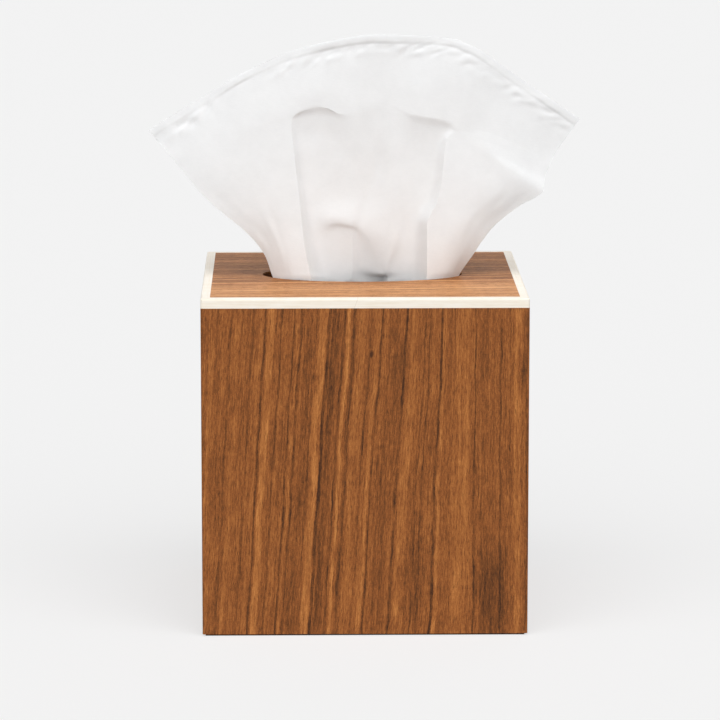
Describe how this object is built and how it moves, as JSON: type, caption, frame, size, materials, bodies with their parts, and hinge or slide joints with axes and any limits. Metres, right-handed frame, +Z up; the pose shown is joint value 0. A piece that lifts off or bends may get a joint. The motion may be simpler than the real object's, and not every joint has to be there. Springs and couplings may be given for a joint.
{
  "type": "tissue box cover",
  "caption": "Square wood-veneered cover with cream bone edging round the top, dropped over a cube carton of tissues; a tissue stands up through the oval slot in its top.",
  "frame": {"origin": "middle of the bottom, on the table", "axes": "+X to the right seen from the front, +Y away from the front, +Z up"},
  "size_m": [0.19, 0.14, 0.2534],
  "materials": {
    "wall_veneer": "satin lacquered brown veneer, upright wavy grain",
    "top_veneer": "satin lacquered brown veneer, grain from side to side",
    "slot_band": "satin lacquered edge band",
    "board_core": "sealed fibreboard",
    "glue_block": "bare softwood",
    "bone_trim": "polished cream bone",
    "felt": "dark brown felt",
    "carton_board": "plain white carton board",
    "tissue_paper": "soft white tissue"
  },
  "bodies": {
    "carton": {"carton": "carton_board", "tissue_stack": "tissue_paper"},
    "cover": {"front_wall": "board_core", "right_wall": "board_core", "back_wall": "board_core", "left_wall": "board_core", "front_veneer": "wall_veneer", "right_veneer": "wall_veneer", "back_veneer": "wall_veneer", "left_veneer": "wall_veneer", "top_panel": "board_core", "top_veneer": "top_veneer", "slot_band": "slot_band", "front_trim_left": "bone_trim", "front_trim_right": "bone_trim", "right_trim_front": "bone_trim", "right_trim_back": "bone_trim", "back_trim_right": "bone_trim", "back_trim_left": "bone_trim", "left_trim_back": "bone_trim", "left_trim_front": "bone_trim", "block_front_left": "glue_block", "block_front_right": "glue_block", "block_back_right": "glue_block", "block_back_left": "glue_block", "front_felt": "felt", "right_felt": "felt", "back_felt": "felt", "left_felt": "felt"},
    "tissue": {"tissue": "tissue_paper"}
  },
  "joints": [
    {"name": "cover_lift", "type": "slide", "parent": "carton", "child": "cover", "axis": [0, 0, 1], "range_m": [0, 0.14]},
    {"name": "tissue_pull", "type": "slide", "parent": "cover", "child": "tissue", "axis": [0, 0, 1], "range_m": [0, 0.095]}
  ]
}
